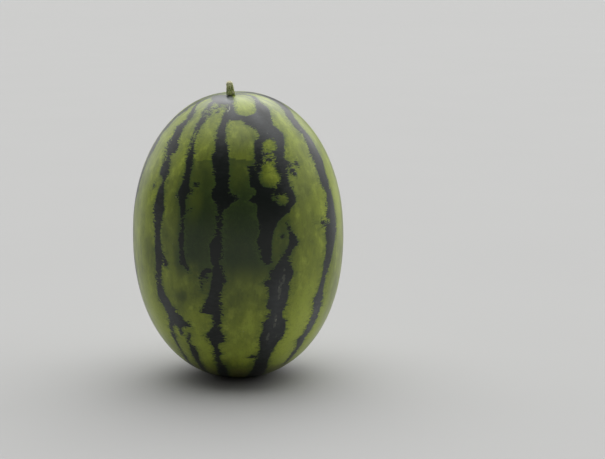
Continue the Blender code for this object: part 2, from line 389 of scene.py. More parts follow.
def vectors(tree, operation, *values):
    """One step of arithmetic on vectors."""
    made = node(tree, "ShaderNodeVectorMath", operation=operation)
    for socket, value in zip(made.inputs, values):
        feed(tree, socket, value)
    gives_a_number = operation in ("LENGTH", "DISTANCE", "DOT_PRODUCT")
    return made.outputs["Value" if gives_a_number else "Vector"]


def scaled(tree, vector, factor):
    """A vector times a number."""
    made = node(tree, "ShaderNodeVectorMath", {"Vector": vector, "Scale": factor}, operation="SCALE")
    return made.outputs["Vector"]


def product(tree, *factors):
    """The product of sockets and numbers."""
    result = factors[0]
    for factor in factors[1:]:
        result = maths(tree, "MULTIPLY", result, factor)
    return result


def bell(tree, reach):
    """1 in the middle, and less the further out, with a third of it left at a reach of 1."""
    return maths(tree, "EXPONENT", product(tree, reach, reach, -1.0))


def flat_grid(tree, sides, rows):
    """A flat grid of one unit, with that many facets across and up, and its points' two places in it."""
    grid = node(
        tree,
        "GeometryNodeMeshGrid",
        {
            "Size X": 1.0,
            "Size Y": 1.0,
            "Vertices X": maths(tree, "ADD", sides, 1.0),
            "Vertices Y": maths(tree, "ADD", rows, 1.0),
        },
    )
    spot = node(tree, "GeometryNodeInputPosition").outputs[0]
    place = node(tree, "ShaderNodeSeparateXYZ", {"Vector": spot})
    return grid.outputs["Mesh"], place.outputs["X"], place.outputs["Y"]


def bent_and_closed(tree, grid, name, value, kind, skin, gap):
    """The grid with a value kept under a name, bent to its skin, and closed where its edges meet."""
    placed = node(
        tree,
        "GeometryNodeStoreNamedAttribute",
        {"Geometry": grid, "Name": name, "Value": value},
        data_type=kind,
        domain="POINT",
    )
    bent = node(tree, "GeometryNodeSetPosition", {"Geometry": placed.outputs[0], "Position": skin})
    closed = node(tree, "GeometryNodeMergeByDistance", {"Geometry": bent.outputs[0], "Distance": gap})
    return closed.outputs[0]


def sunk_in(tree, geometry, depth):
    """The geometry with its skin pushed inwards by a depth, and shaded smooth."""
    normal = node(tree, "GeometryNodeInputNormal").outputs[0]
    inwards = scaled(tree, normal, product(tree, depth, -1.0))
    sunk = node(tree, "GeometryNodeSetPosition", {"Geometry": geometry, "Offset": inwards})
    return node(tree, "GeometryNodeSetShadeSmooth", {"Geometry": sunk.outputs[0]}).outputs[0]


def height_over_middle(radius, width, length, power):
    """How far from its widest ring the fruit's skin is, at that distance from its axis."""
    return length / 2 * (1 - (2 * radius / width) ** power) ** (1 / power)


def middle_height(settings):
    """How high the fruit's widest ring is over what the fruit stands on."""
    return height_over_middle(settings.resting_radius, settings.width, settings.length, LOWER_POWER)


def stalk_seat(settings):
    """The point where the rind's meridians meet, before the dimple, and the rind's outward normal there."""
    offset = Vector(settings.stalk_offset)
    radius = offset.length
    height = height_over_middle(radius, settings.width, settings.length, UPPER_POWER)
    fall = settings.length / settings.width * (2 * radius / settings.width) ** (UPPER_POWER - 1)
    fall *= (2 * height / settings.length) ** (1 - UPPER_POWER)
    normal = (offset.normalized() * fall + Vector((0, 0, 1))).normalized()
    return Vector((offset.x, offset.y, middle_height(settings) + height)), normal


def fruit_form(tree, sizes):
    """Geometry nodes that bend a flat grid round into the fruit, closed at its seam and both poles."""
    grid, across, up = flat_grid(tree, sizes["Sides"], sizes["Rings"])
    longitude = product(tree, across, math.tau)
    latitude = product(tree, up, math.pi)
    above = maths(tree, "GREATER_THAN", latitude, 0.0)
    below = maths(tree, "SUBTRACT", 1.0, above)
    blunting = maths(tree, "SUBTRACT", sizes["Upper Power"], sizes["Lower Power"])
    power = maths(tree, "MULTIPLY_ADD", blunting, above, sizes["Lower Power"])
    # Each ring shrinks towards its pole, and above the middle it slides towards the stalk as it shrinks.
    cosine = maths(tree, "MAXIMUM", maths(tree, "COSINE", latitude), 0.0)
    share = maths(tree, "POWER", cosine, maths(tree, "DIVIDE", 2.0, power))
    half_width = product(tree, sizes["Width"], 0.5)
    backwards = product(tree, maths(tree, "COSINE", longitude), -1.0)
    sideways = maths(tree, "SINE", longitude)
    towards = node(tree, "ShaderNodeCombineXYZ", {"X": sideways, "Y": backwards}).outputs[0]
    shift = product(tree, maths(tree, "SUBTRACT", 1.0, share), above)
    ring = scaled(tree, towards, product(tree, half_width, share))
    flat = vectors(tree, "ADD", ring, scaled(tree, sizes["Stalk Offset"], shift))
    # The outline's superellipse gives the height over or under the middle.
    radius = vectors(tree, "LENGTH", flat)
    filled = maths(tree, "POWER", maths(tree, "DIVIDE", radius, half_width), power)
    left_over = maths(tree, "MAXIMUM", maths(tree, "SUBTRACT", 1.0, filled), 0.0)
    rise = maths(tree, "POWER", left_over, maths(tree, "DIVIDE", 1.0, power))
    rise = product(tree, rise, sizes["Length"], 0.5, maths(tree, "SUBTRACT", above, below))
    # The lobes, the scar in the resting spot and the dimple round the stalk.
    wave = maths(tree, "COSINE", product(tree, longitude, sizes["Lobes"]))
    lobe = maths(tree, "DIVIDE", product(tree, wave, sizes["Lobe Depth"]), half_width)
    lobe = maths(tree, "MULTIPLY_ADD", lobe, product(tree, share, share), 1.0)
    scar = bell(tree, maths(tree, "DIVIDE", radius, sizes["Scar Radius"]))
    scar = product(tree, scar, sizes["Scar Depth"], below)
    height = maths(tree, "MAXIMUM", maths(tree, "ADD", sizes["Middle Height"], rise), 0.0)
    lift = node(tree, "ShaderNodeCombineXYZ", {"Z": maths(tree, "ADD", height, scar)}).outputs[0]
    skin = vectors(tree, "ADD", scaled(tree, flat, lobe), lift)
    reach = maths(tree, "DIVIDE", vectors(tree, "DISTANCE", skin, sizes["Seat"]), sizes["Dimple Radius"])
    press = product(tree, bell(tree, reach), sizes["Dimple Depth"])
    skin = vectors(tree, "SUBTRACT", skin, scaled(tree, sizes["Seat Normal"], press))
    # The place on the globe is kept while the grid is still flat, as a way round the fruit and a latitude.
    globe = vectors(tree, "ADD", towards, node(tree, "ShaderNodeCombineXYZ", {"Z": latitude}).outputs[0])
    closed = bent_and_closed(tree, grid, "globe", globe, "FLOAT_VECTOR", skin, 2e-6)
    spot = node(tree, "GeometryNodeInputPosition").outputs[0]
    off_floor = node(tree, "ShaderNodeSeparateXYZ", {"Vector": spot}).outputs["Z"]
    off_floor = maths(tree, "DIVIDE", off_floor, DENTS_FADE_HEIGHT, clamp=True)
    dents = product(tree, noise(tree, spot, 28.0, 2.0), off_floor)
    return sunk_in(tree, closed, product(tree, dents, sizes["Unevenness"]))


def grown(name, form, sizes, material):
    """A plain mesh object of one material, from a form that geometry nodes build to the given sizes."""
    tree = bpy.data.node_groups.new(name, "GeometryNodeTree")
    for size, value in sizes.items():
        tree.interface.new_socket(name=size, in_out="INPUT", socket_type=SOCKET_KINDS[type(value)])
    tree.interface.new_socket(name="Geometry", in_out="OUTPUT", socket_type="NodeSocketGeometry")
    geometry = form(tree, tree.nodes.new("NodeGroupInput").outputs)
    real = node(tree, "GeometryNodeRealizeInstances", {"Geometry": geometry})
    skinned = node(tree, "GeometryNodeSetMaterial", {"Geometry": real.outputs[0], "Material": material})
    node(tree, "NodeGroupOutput", {"Geometry": skinned.outputs[0]})
    seedling = bpy.data.objects.new(name, bpy.data.meshes.new(name))
    bpy.context.scene.collection.objects.link(seedling)
    modifier = seedling.modifiers.new("form", "NODES")
    modifier.node_group = tree
    for item in tree.interface.items_tree:
        if item.in_out == "INPUT":
            modifier[item.identifier] = sizes[item.name]
    evaluated = seedling.evaluated_get(bpy.context.evaluated_depsgraph_get())
    mesh = bpy.data.meshes.new_from_object(evaluated)
    seedling.modifiers.clear()
    seedling.data = mesh
    mesh.name = name
    return seedling


def globe_places(mesh):
    """Every vertex's longitude and latitude, in degrees."""
    places = np.zeros(len(mesh.vertices) * 3)
    mesh.attributes["globe"].data.foreach_get("vector", places)
    places = places.reshape(-1, 3)
    return np.degrees(np.arctan2(places[:, 0], -places[:, 1])), np.degrees(places[:, 2])


def turned_apart(longitude, middle):
    """How many degrees a longitude lies to the right of another, the short way round."""
    return (longitude - middle + 180) % 360 - 180


def ring_step(latitude, width):
    """The length of one degree of longitude at a latitude."""
    return np.maximum(np.cos(np.radians(latitude)), 0.0) ** (2 / UPPER_POWER) * width / 2 * math.radians(1)


def latitude_step(width, length):
    """The length of one degree of latitude, about."""
    return math.radians(1) * (width + length) / 4


def band_depth(longitude, latitude, rows, width, length):
    """How deep inside one band of the pattern each place lies, in metres, and less than 0 outside it."""
    rows = np.array(rows, float)
    rows = rows[np.argsort(rows[:, 0])]
    left = np.interp(latitude, rows[:, 0], rows[:, 1])
    right = np.interp(latitude, rows[:, 0], rows[:, 2])
    across = (right - left) / 2 - np.abs(turned_apart(longitude, (left + right) / 2))
    across = across * ring_step(latitude, width)
    past = np.maximum(latitude - rows[-1, 0], rows[0, 0] - latitude) * latitude_step(width, length)
    return np.where(past > 0, -np.hypot(past, np.minimum(across, 0.0)), across)


def fleck_depth(longitude, latitude, fleck, width, length):
    """How deep inside one oval fleck each place lies, in metres, and less than 0 outside it."""
    middle_latitude, middle_longitude, half_height, half_width = fleck
    up = (latitude - middle_latitude) / half_height
    across = turned_apart(longitude, middle_longitude) / half_width
    size = min(half_height * latitude_step(width, length), half_width * ring_step(middle_latitude, width))
    return (1 - np.hypot(up, across)) * size


def hidden_pattern(seed):
    """The pattern of the sides and back that the front doesn't show: its bands, its flecks and its gaps."""
    draw = np.random.default_rng(seed)
    bands = []
    flecks = []
    gaps = []
    for middle in HIDDEN_STRIPES:
        rows = hidden_stripe(draw, middle)
        bands.append(rows)
        for _ in range(SPURS_ON_EACH):
            latitude, left, right = rows[draw.integers(len(rows) // 5, len(rows) * 4 // 5)]
            reach = draw.uniform(3, 8)
            height = draw.uniform(1.0, 3.0)
            drop = draw.uniform(-2, 2)
            # The spur's root and its point are to the left of the stripe or to the right of it.
            if draw.random() < 0.5:
                root, point = (left, left + 2), (left - reach, left)
                end = left - reach
            else:
                root, point = (right - 2, right), (right, right + reach)
                end = right + reach
            spur = (
                (latitude + height, *root),
                (latitude + drop, *point),
                (latitude - height, left, right),
            )
            bands.append(spur)
            flecks.append((latitude - 4, end, draw.uniform(0.5, 1.2), draw.uniform(0.6, 1.3)))
            gaps.append((latitude + 9, (left + right) / 2, draw.uniform(0.8, 2.5), draw.uniform(0.4, 1.3)))
    return bands, flecks, gaps


def hidden_stripe(draw, middle):
    """The rows of one stripe of the hidden side, which sways as it goes down and has uneven edges.

    It sways in a long and a short wave, and it is broader where it comes near the fruit's ends.
    """
    drift = draw.uniform(-3, 3)
    phase = draw.uniform(0, math.tau)
    breadth = draw.uniform(0.85, 1.35)
    rows = []
    latitude = HIDDEN_STRIPE_END
    while latitude > -HIDDEN_STRIPE_END:
        along = math.radians(latitude)
        centre = middle + drift * latitude / 90
        centre += 2.6 * math.sin(3 * along + phase) + 1.2 * math.sin(7 * along + 2 * phase)
        left, right = breadth * draw.uniform(1.3, 5.3, 2)
        left, right = (left, right) if abs(latitude) < 55 else (1.35 * left, 1.35 * right)
        rows.append((latitude, centre - left, centre + right))
        latitude -= draw.uniform(1.6, 5.0)
    return tuple(rows)


def eased(share):
    """A share kept between 0 and 1, and made to start and end gently."""
    share = np.clip(share, 0, 1)
    return share * share * (3 - 2 * share)


def soft_places(longitude, latitude, places, plateau):
    """The sum of soft oval places, each full within a share of its size and fading out to its rim."""
    total = np.zeros(len(longitude))
    for middle_latitude, middle_longitude, half_height, half_width, amount in places:
        up = (latitude - middle_latitude) / half_height
        across = turned_apart(longitude, middle_longitude) / half_width
        total += amount * eased((1 - np.hypot(up, across)) / (1 - plateau))
    return total


def stripe_depth(longitude, latitude, settings):
    """How deep inside the dark stripes each place lies, in metres, and less than 0 on the light ground."""
    sizes = settings.width, settings.length
    hidden_bands, hidden_flecks, hidden_gaps = hidden_pattern(settings.seed)
    bands = [
        OUTER_LEFT_STRIPE,
        INNER_LEFT_STRIPE,
        MIDDLE_LEFT_STRIPE,
        MIDDLE_RIGHT_STRIPE,
        LOWER_RIGHT_STRIPE,
        OUTER_RIGHT_STRIPE,
        *OFFSHOOTS,
        *hidden_bands,
    ]
    depth = np.full(len(longitude), -1.0)
    for rows in bands:
        depth = np.maximum(depth, band_depth(longitude, latitude, rows, *sizes))
    for gap in (*LIGHT_GAPS, *hidden_gaps):
        depth = np.minimum(depth, -fleck_depth(longitude, latitude, gap, *sizes))
    for fleck in (*DARK_FLECKS, *hidden_flecks):
        depth = np.maximum(depth, fleck_depth(longitude, latitude, fleck, *sizes))
    return np.clip(depth, -0.05, 0.05)


def painted_shade_zone(longitude, latitude, width, length):
    """How much each place lies in the front's painted shadow, from 0 to 1. Only its upper edge is sharp."""
    waved = latitude + PAINTED_SHADE_WAVE * np.sin(np.radians(longitude * PAINTED_SHADE_WAVES))
    depth = band_depth(longitude, waved, PAINTED_SHADE_ZONE, width, length)
    (high, narrow), (low, wide) = PAINTED_SHADE_FADES
    share = eased(depth / np.interp(latitude, (low, high), (wide, narrow)))
    share *= eased((latitude - PAINTED_SHADE_ZONE[-1][0]) / PAINTED_SHADE_LOWER_FADE)
    deepening = eased((PAINTED_SHADE_ZONE[0][0] - latitude) / PAINTED_SHADE_DEEPENING)
    return share * (PAINTED_SHADE_START + (1 - PAINTED_SHADE_START) * deepening)


def paint_rind(mesh, settings):
    """Stores the pattern as attributes that the rind's material reads."""
    longitude, latitude = globe_places(mesh)
    sizes = settings.width, settings.length
    scuffed = [fleck_depth(longitude, latitude, scuff, *sizes) for scuff in SCUFFS]
    scratched = [fleck_depth(longitude, latitude, scratch, *sizes) for scratch in SCRATCHES]
    # The rind's own tone with painted light and shade from the listed places, less the front's painted
    # shadow.
    tone_and_painted_light = soft_places(longitude, latitude, TONE_AND_PAINTED_LIGHT_PLACES, 0.0) - painted_shade_zone(longitude, latitude, *sizes)
    pattern = {
        "stripe": stripe_depth(longitude, latitude, settings),
        "broken": np.clip(soft_places(longitude, latitude, BROKEN_PLACES, 0.5), 0, 1),
        "bloom_and_painted_sheen": np.clip(soft_places(longitude, latitude, BLOOM_AND_PAINTED_SHEEN_PLACES, 0.0), 0, 2),
        "tone_and_painted_light": np.clip(tone_and_painted_light, -1, 1),
        "scuffed": np.clip(np.max(scuffed, axis=0), -0.01, 0.01),
        "scratched": np.clip(np.max(scratched, axis=0), -0.01, 0.01),
    }
    for name, values in pattern.items():
        mesh.attributes.new(name, "FLOAT", "POINT").data.foreach_set("value", values)


def mixed(tree, factor, first, second):
    """Mixes two colours. The colours are sockets or red, green and blue."""
    made = node(tree, "ShaderNodeMix", data_type="RGBA", clamp_factor=True)
    feed(tree, made.inputs["Factor"], factor)
    for socket, value in ((made.inputs[6], first), (made.inputs[7], second)):
        feed(tree, socket, value if isinstance(value, bpy.types.NodeSocket) else (*value, 1.0))
    return made.outputs[2]


def tinted(tree, base, tint, share, strength):
    """The base colour taken towards a tint, by a share from 0 to 1 times a strength."""
    return mixed(tree, product(tree, share, strength), base, tint)


def ramp(tree, value, low, high):
    """0 up to the low value, 1 from the high one, and smooth between them. The low one may be larger."""
    made = node(tree, "ShaderNodeMapRange", {"Value": value}, interpolation_type="SMOOTHSTEP")
    feed(tree, made.inputs["From Min"], low)
    feed(tree, made.inputs["From Max"], high)
    return made.outputs["Result"]


def noise(tree, place, scale, detail=3.0, roughness=0.5, distortion=0.0):
    """Fractal noise from 0 to 1."""
    inputs = {"Vector": place, "Scale": scale, "Detail": detail}
    inputs |= {"Roughness": roughness, "Distortion": distortion}
    return node(tree, "ShaderNodeTexNoise", inputs).outputs[0]


def centred(tree, value, reach):
    """A value from 0 to 1 turned into one from minus reach to reach."""
    return product(tree, maths(tree, "SUBTRACT", value, 0.5), 2 * reach)


def principled(name):
    """A new material, its tree and its Principled shader."""
    material = bpy.data.materials.new(name)
    material.use_nodes = True
    return material, material.node_tree, material.node_tree.nodes["Principled BSDF"]


def finish_skin(tree, shader, skin, relief):
    """Gives the shader its colour and its fine relief, which is a height in metres."""
    tree.links.new(skin, shader.inputs["Base Color"])
    bump = node(tree, "ShaderNodeBump", {"Height": relief, "Strength": 1.0, "Distance": 1.0})
    tree.links.new(bump.outputs[0], shader.inputs["Normal"])


def attribute(tree, name):
    """A number stored on the mesh."""
    return node(tree, "ShaderNodeAttribute", attribute_name=name).outputs["Fac"]


def thin_lines(tree, value, thickness):
    """1 along the thin lines where a noise passes its middle value, falling to 0 beside them."""
    off_line = maths(tree, "ABSOLUTE", maths(tree, "SUBTRACT", value, 0.5))
    return maths(tree, "SUBTRACT", 1.0, maths(tree, "DIVIDE", off_line, thickness), clamp=True)


def spiked_edge(tree, globe, spike):
    """The stripes' depth with a ragged edge: waves, sideways spikes both ways, and fine raggedness."""
    sideways = vectors(tree, "MULTIPLY", globe, (1.0, 1.0, 4.0))
    outwards = thin_lines(tree, noise(tree, sideways, 10.0, 1.0, 0.50), 0.065)
    shifted = vectors(tree, "ADD", sideways, (3.1, 1.7, 5.3))
    inwards = thin_lines(tree, noise(tree, shifted, 12.0, 1.0, 0.50), 0.060)
    waves = centred(tree, noise(tree, globe, 12.0, 2.0, 0.5), 0.0014)
    ragged = centred(tree, noise(tree, sideways, 24.0, 3.0, 0.60), 0.0008)
    # The teeth are long in some stretches and hardly there in others.
    stretches = ramp(tree, noise(tree, globe, 9.0, 1.0), 0.40, 0.64)
    reach = maths(tree, "MULTIPLY_ADD", stretches, 0.9 * spike, 0.2 * spike)
    rough = product(tree, maths(tree, "SUBTRACT", outwards, inwards), reach)
    rough = maths(tree, "ADD", rough, maths(tree, "ADD", waves, ragged))
    specks = centred(tree, noise(tree, sideways, 20.0, 3.0, 0.60), 0.011)
    rough = maths(tree, "MULTIPLY_ADD", specks, attribute(tree, "broken"), rough)
    return maths(tree, "ADD", attribute(tree, "stripe"), rough)


def light_ground(tree, globe, edge, mottle, tone_and_painted_light, settings):
    """The light ground: mottled and streaked, and darker beside stripes.

    It is deeper or paler by its own tone and by painted light and painted shadow.
    """
    broad = ramp(tree, noise(tree, globe, 3.0, 3.0, 0.5), 0.30, 0.70)
    ground = mixed(tree, broad, settings.ground, mean_colour(settings.ground, settings.deep))
    lengthwise = vectors(tree, "MULTIPLY", globe, (1.0, 1.0, 0.35))
    streaks = ramp(tree, noise(tree, lengthwise, 16.0, 3.0, 0.55), 0.45, 0.75)
    ground = tinted(tree, ground, settings.deep, streaks, 0.25)
    blotches = noise(tree, vectors(tree, "ADD", globe, (7.3, 2.9, 1.1)), 9.0, 3.0, 0.6)
    ground = tinted(tree, ground, settings.pale, ramp(tree, blotches, 0.48, 0.72), 0.45)
    ground = tinted(tree, ground, settings.deep, ramp(tree, blotches, 0.46, 0.26), 0.30)
    # Over 0 the ground is painted paler and under 0 deeper, by its own tone and by painted light and shade,
    # and each mix takes no notice of the other kind.
    ground = tinted(tree, ground, settings.pale, tone_and_painted_light, 0.9)
    ground = tinted(tree, ground, settings.deep, tone_and_painted_light, -0.95)
    # The height on the globe is the latitude, in radians.
    latitude = vectors(tree, "DOT_PRODUCT", globe, (0.0, 0.0, 1.0))
    # Darker and browner near the blossom end: partly its own tone and partly painted contact shade.
    ground = tinted(tree, ground, settings.tip, ramp(tree, latitude, -0.95, -1.03), 0.6)
    veins = thin_lines(tree, noise(tree, globe, 15.0, 4.0, 0.6, 1.2), 0.035)
    ground = tinted(tree, ground, settings.fringe, veins, 0.22)
    near = product(tree, ramp(tree, edge, -0.0075, 0.0), ramp(tree, mottle, 0.42, 0.62))
    ground = tinted(tree, ground, settings.fringe, near, 0.60)
    margin = maths(tree, "ADD", edge, centred(tree, noise(tree, globe, 30.0, 2.0), 0.0014))
    return tinted(tree, ground, settings.fringe, ramp(tree, margin, -0.0018, -0.0001), 0.50)


def stripe_green(tree, mottle, tone_and_painted_light, settings):
    """The stripes' green: greyer where a waxy coat lies on it, and waxy grey round the stalk; both greys
    are partly painted sheen. It is darker where the ground is deeper by its tone and by painted shadow.
    """
    bloom_and_painted_sheen = maths(tree, "MULTIPLY_ADD", ramp(tree, mottle, 0.35, 0.75), 0.3, attribute(tree, "bloom_and_painted_sheen"))
    core = mixed(tree, bloom_and_painted_sheen, settings.dark, settings.bluish)
    core = mixed(tree, maths(tree, "SUBTRACT", bloom_and_painted_sheen, 1.0), core, settings.wax_and_painted_sheen)
    # Painted shade: the stripes darken where the ground is deeper, as in the front's painted shadow.
    return tinted(tree, core, settings.dark, tone_and_painted_light, -0.9)


def weathered(tree, place, skin, settings):
    """The skin with dry, broken scuffs, dots and pale scratches, and the corky scar in the resting spot."""
    worn = centred(tree, noise(tree, place, 420.0, 3.0, 0.6), 0.0022)
    worn = ramp(tree, maths(tree, "ADD", attribute(tree, "scuffed"), worn), -0.0001, 0.0006)
    dots = ramp(tree, noise(tree, place, 190.0, 2.0, 0.5), 0.75, 0.80)
    worn = maths(tree, "MULTIPLY_ADD", worn, 0.16, product(tree, dots, 0.25))
    skin = mixed(tree, worn, skin, settings.scuff)
    scratch = centred(tree, noise(tree, place, 700.0), 0.0005)
    scratch = ramp(tree, maths(tree, "ADD", attribute(tree, "scratched"), scratch), -0.0001, 0.0002)
    skin = tinted(tree, skin, settings.scuff, scratch, 0.7)
    from_scar = centred(tree, noise(tree, place, 500.0), 0.0015)
    from_scar = maths(tree, "ADD", vectors(tree, "LENGTH", place), from_scar)
    return mixed(tree, ramp(tree, from_scar, 0.0062, 0.0048), skin, settings.scuff)


def rind_material(settings):
    """Waxy rind: mottled light green ground, and dark stripes with jagged, feathered edges."""
    material, tree, shader = principled("rind")
    globe = node(tree, "ShaderNodeAttribute", attribute_name="globe").outputs["Vector"]
    place = node(tree, "ShaderNodeTexCoord").outputs["Object"]
    edge = spiked_edge(tree, globe, settings.spike)
    inside = ramp(tree, edge, -0.0005, 0.0009)
    mottle = noise(tree, vectors(tree, "MULTIPLY", globe, (1.0, 1.0, 3.0)), 16.0, 5.0, 0.65, 0.4)
    tone_and_painted_light = attribute(tree, "tone_and_painted_light")
    ground = light_ground(tree, globe, edge, mottle, tone_and_painted_light, settings)
    skin = mixed(tree, inside, ground, stripe_green(tree, mottle, tone_and_painted_light, settings))
    skin = weathered(tree, place, skin, settings)
    gloss = noise(tree, place, 60.0, 4.0, 0.6)
    tree.links.new(maths(tree, "MULTIPLY_ADD", gloss, 0.16, 0.24), shader.inputs["Roughness"])
    shader.inputs["IOR"].default_value = 1.40
    relief = product(tree, noise(tree, place, 900.0, 2.0), 0.00003)
    relief = maths(tree, "MULTIPLY_ADD", noise(tree, place, 120.0, 3.0), 0.00010, relief)
    relief = maths(tree, "MULTIPLY_ADD", inside, 0.00005, relief)
    finish_skin(tree, shader, skin, relief)
    return material


def mean_colour(first, second):
    """The colour half way between two."""
    return [(one + other) / 2 for one, other in zip(first, second)]


def stalk_form(tree, sizes):
    """Geometry nodes that roll a flat grid up into the ribbed, knobbly stalk, closed at both ends."""
    grid, across, up = flat_grid(tree, sizes["Sides"], sizes["Rings"])
    turn = product(tree, across, math.tau)
    row = maths(tree, "ADD", up, 0.5)
    # The grid's first rows close the foot, its last ones are the cut face, and the rest climb the stalk.
    closed_foot = maths(tree, "DIVIDE", row, FOOT_SHARE, clamp=True)
    climbing = 1.0 - FOOT_SHARE - FACE_SHARE
    along = maths(tree, "DIVIDE", maths(tree, "SUBTRACT", row, FOOT_SHARE), climbing, clamp=True)
    across_face = maths(tree, "DIVIDE", maths(tree, "SUBTRACT", 1.0, row), FACE_SHARE, clamp=True)
    left_to_go = maths(tree, "SUBTRACT", 1.0, along)
    taper = maths(tree, "SUBTRACT", sizes["Foot Radius"], sizes["Tip Radius"])
    slope = maths(tree, "POWER", left_to_go, STALK_TAPER_POWER)
    taper = maths(tree, "MULTIPLY_ADD", taper, slope, sizes["Tip Radius"])
    below_tip = product(tree, left_to_go, sizes["Length"])
    worn = maths(tree, "SUBTRACT", 1.0, maths(tree, "DIVIDE", below_tip, sizes["Tip Worn"]), clamp=True)
    missing = maths(tree, "SUBTRACT", 1.0, product(tree, sizes["Cut Share"], sizes["Cut Share"]))
    rounding = product(tree, missing, product(tree, worn, worn))
    rounding = maths(tree, "SQRT", maths(tree, "SUBTRACT", 1.0, rounding))
    rib = maths(tree, "COSINE", product(tree, turn, sizes["Ribs"]))
    rib = product(tree, rib, maths(tree, "DIVIDE", sizes["Rib Depth"], sizes["Tip Radius"]))
    radius = product(tree, taper, rounding, maths(tree, "ADD", rib, 1.0))
    radius = product(tree, radius, product(tree, closed_foot, across_face))
    leftwards = scaled(tree, sizes["Left"], maths(tree, "COSINE", turn))
    spread = vectors(tree, "ADD", leftwards, scaled(tree, sizes["Back"], maths(tree, "SINE", turn)))
    bend = product(tree, along, along, sizes["Bend"])
    # The cut face sinks in a little towards its middle.
    sunk = maths(tree, "SUBTRACT", 1.0, product(tree, across_face, across_face))
    hollow = product(tree, sunk, -CUT_FACE_HOLLOW)
    climb = maths(tree, "MULTIPLY_ADD", sizes["Length"], along, hollow)
    centre = vectors(tree, "ADD", sizes["Foot"], scaled(tree, sizes["Axis"], climb))
    centre = vectors(tree, "ADD", centre, scaled(tree, sizes["Left"], bend))
    skin = vectors(tree, "ADD", centre, scaled(tree, spread, radius))
    height = maths(tree, "ADD", along, sunk)
    closed = bent_and_closed(tree, grid, "height", height, "FLOAT", skin, 1e-6)
    spot = node(tree, "GeometryNodeInputPosition").outputs[0]
    pits = product(tree, noise(tree, spot, 420.0, 3.0), sizes["Knobs"])
    return sunk_in(tree, closed, pits)


def down_form(tree, sizes):
    """Geometry nodes that stand short, thin hairs on another piece's skin."""
    stalk = node(tree, "GeometryNodeObjectInfo", {"Object": sizes["Stalk"]}, transform_space="ORIGINAL")
    height = node(tree, "GeometryNodeInputNamedAttribute", {"Name": "height"}, data_type="FLOAT")
    limits = {"A": height.outputs[0], "B": sizes["Highest"]}
    below_tip = node(tree, "FunctionNodeCompare", limits, operation="LESS_THAN")
    roots = node(
        tree,
        "GeometryNodeDistributePointsOnFaces",
        {
            "Mesh": stalk.outputs["Geometry"],
            "Selection": below_tip.outputs[0],
            "Density": sizes["Density"],
            "Seed": sizes["Seed"],
        },
    )
    hair = node(
        tree,
        "GeometryNodeMeshCone",
        {
            "Vertices": 3,
            "Radius Top": 0.0,
            "Radius Bottom": product(tree, sizes["Thickness"], 0.5),
            "Depth": sizes["Length"],
        },
    )
    lean = node(tree, "FunctionNodeRandomValue", {"Seed": sizes["Seed"]}, data_type="FLOAT_VECTOR")
    lean.inputs["Min"].default_value = (-0.5, -0.5, -0.5)
    lean.inputs["Max"].default_value = (0.5, 0.5, 0.5)
    outwards = vectors(tree, "ADD", roots.outputs["Normal"], lean.outputs["Value"])
    aim = node(tree, "FunctionNodeAlignEulerToVector", {"Vector": outwards}, axis="Z")
    # The shortest hairs are a third as long as the longest.
    next_seed = maths(tree, "ADD", sizes["Seed"], 1.0)
    size = node(tree, "FunctionNodeRandomValue", {"Seed": next_seed}, data_type="FLOAT")
    size.inputs[2].default_value = 0.35
    size.inputs[3].default_value = 1.0
    hairs = node(
        tree,
        "GeometryNodeInstanceOnPoints",
        {
            "Points": roots.outputs["Points"],
            "Instance": hair.outputs["Mesh"],
            "Rotation": aim.outputs[0],
            "Scale": size.outputs[1],
        },
    )
    return hairs.outputs[0]


def stalk_material(settings):
    """Matt green skin with darker blotches, dried ribs, and a dry, pale cut tip.

    The darkening towards its foot is a painted shadow where it meets the rind.
    """
    material, tree, shader = principled("stalk")
    place = node(tree, "ShaderNodeTexCoord").outputs["Object"]
    height = attribute(tree, "height")
    blotches = noise(tree, place, 800.0, 4.0, 0.65)
    skin = mixed(tree, ramp(tree, blotches, 0.40, 0.60), settings.shaded, settings.green)
    streaks = noise(tree, vectors(tree, "MULTIPLY", place, (1.0, 1.0, 0.3)), 900.0, 3.0)
    skin = tinted(tree, skin, settings.dry, ramp(tree, streaks, 0.52, 0.66), 0.7)
    # Painted shade: darker towards the foot, where the stalk meets the rind.
    skin = tinted(tree, skin, settings.shaded, ramp(tree, height, 0.25, 0.0), 0.8)
    drying = maths(tree, "ADD", height, centred(tree, noise(tree, place, 900.0, 3.0), 0.20))
    skin = mixed(tree, ramp(tree, drying, 0.74, 0.98), skin, settings.dry)
    shader.inputs["Roughness"].default_value = 0.75
    finish_skin(tree, shader, skin, product(tree, noise(tree, place, 2500.0, 3.0), 0.00006))
    return material


def down_material(settings):
    """Pale, dry hairs, a little different from one to the next."""
    material, tree, shader = principled("down")
    tint = noise(tree, node(tree, "ShaderNodeTexCoord").outputs["Object"], 2000.0)
    tree.links.new(mixed(tree, tint, settings.green, settings.dry), shader.inputs["Base Color"])
    shader.inputs["Roughness"].default_value = 0.6
    return material


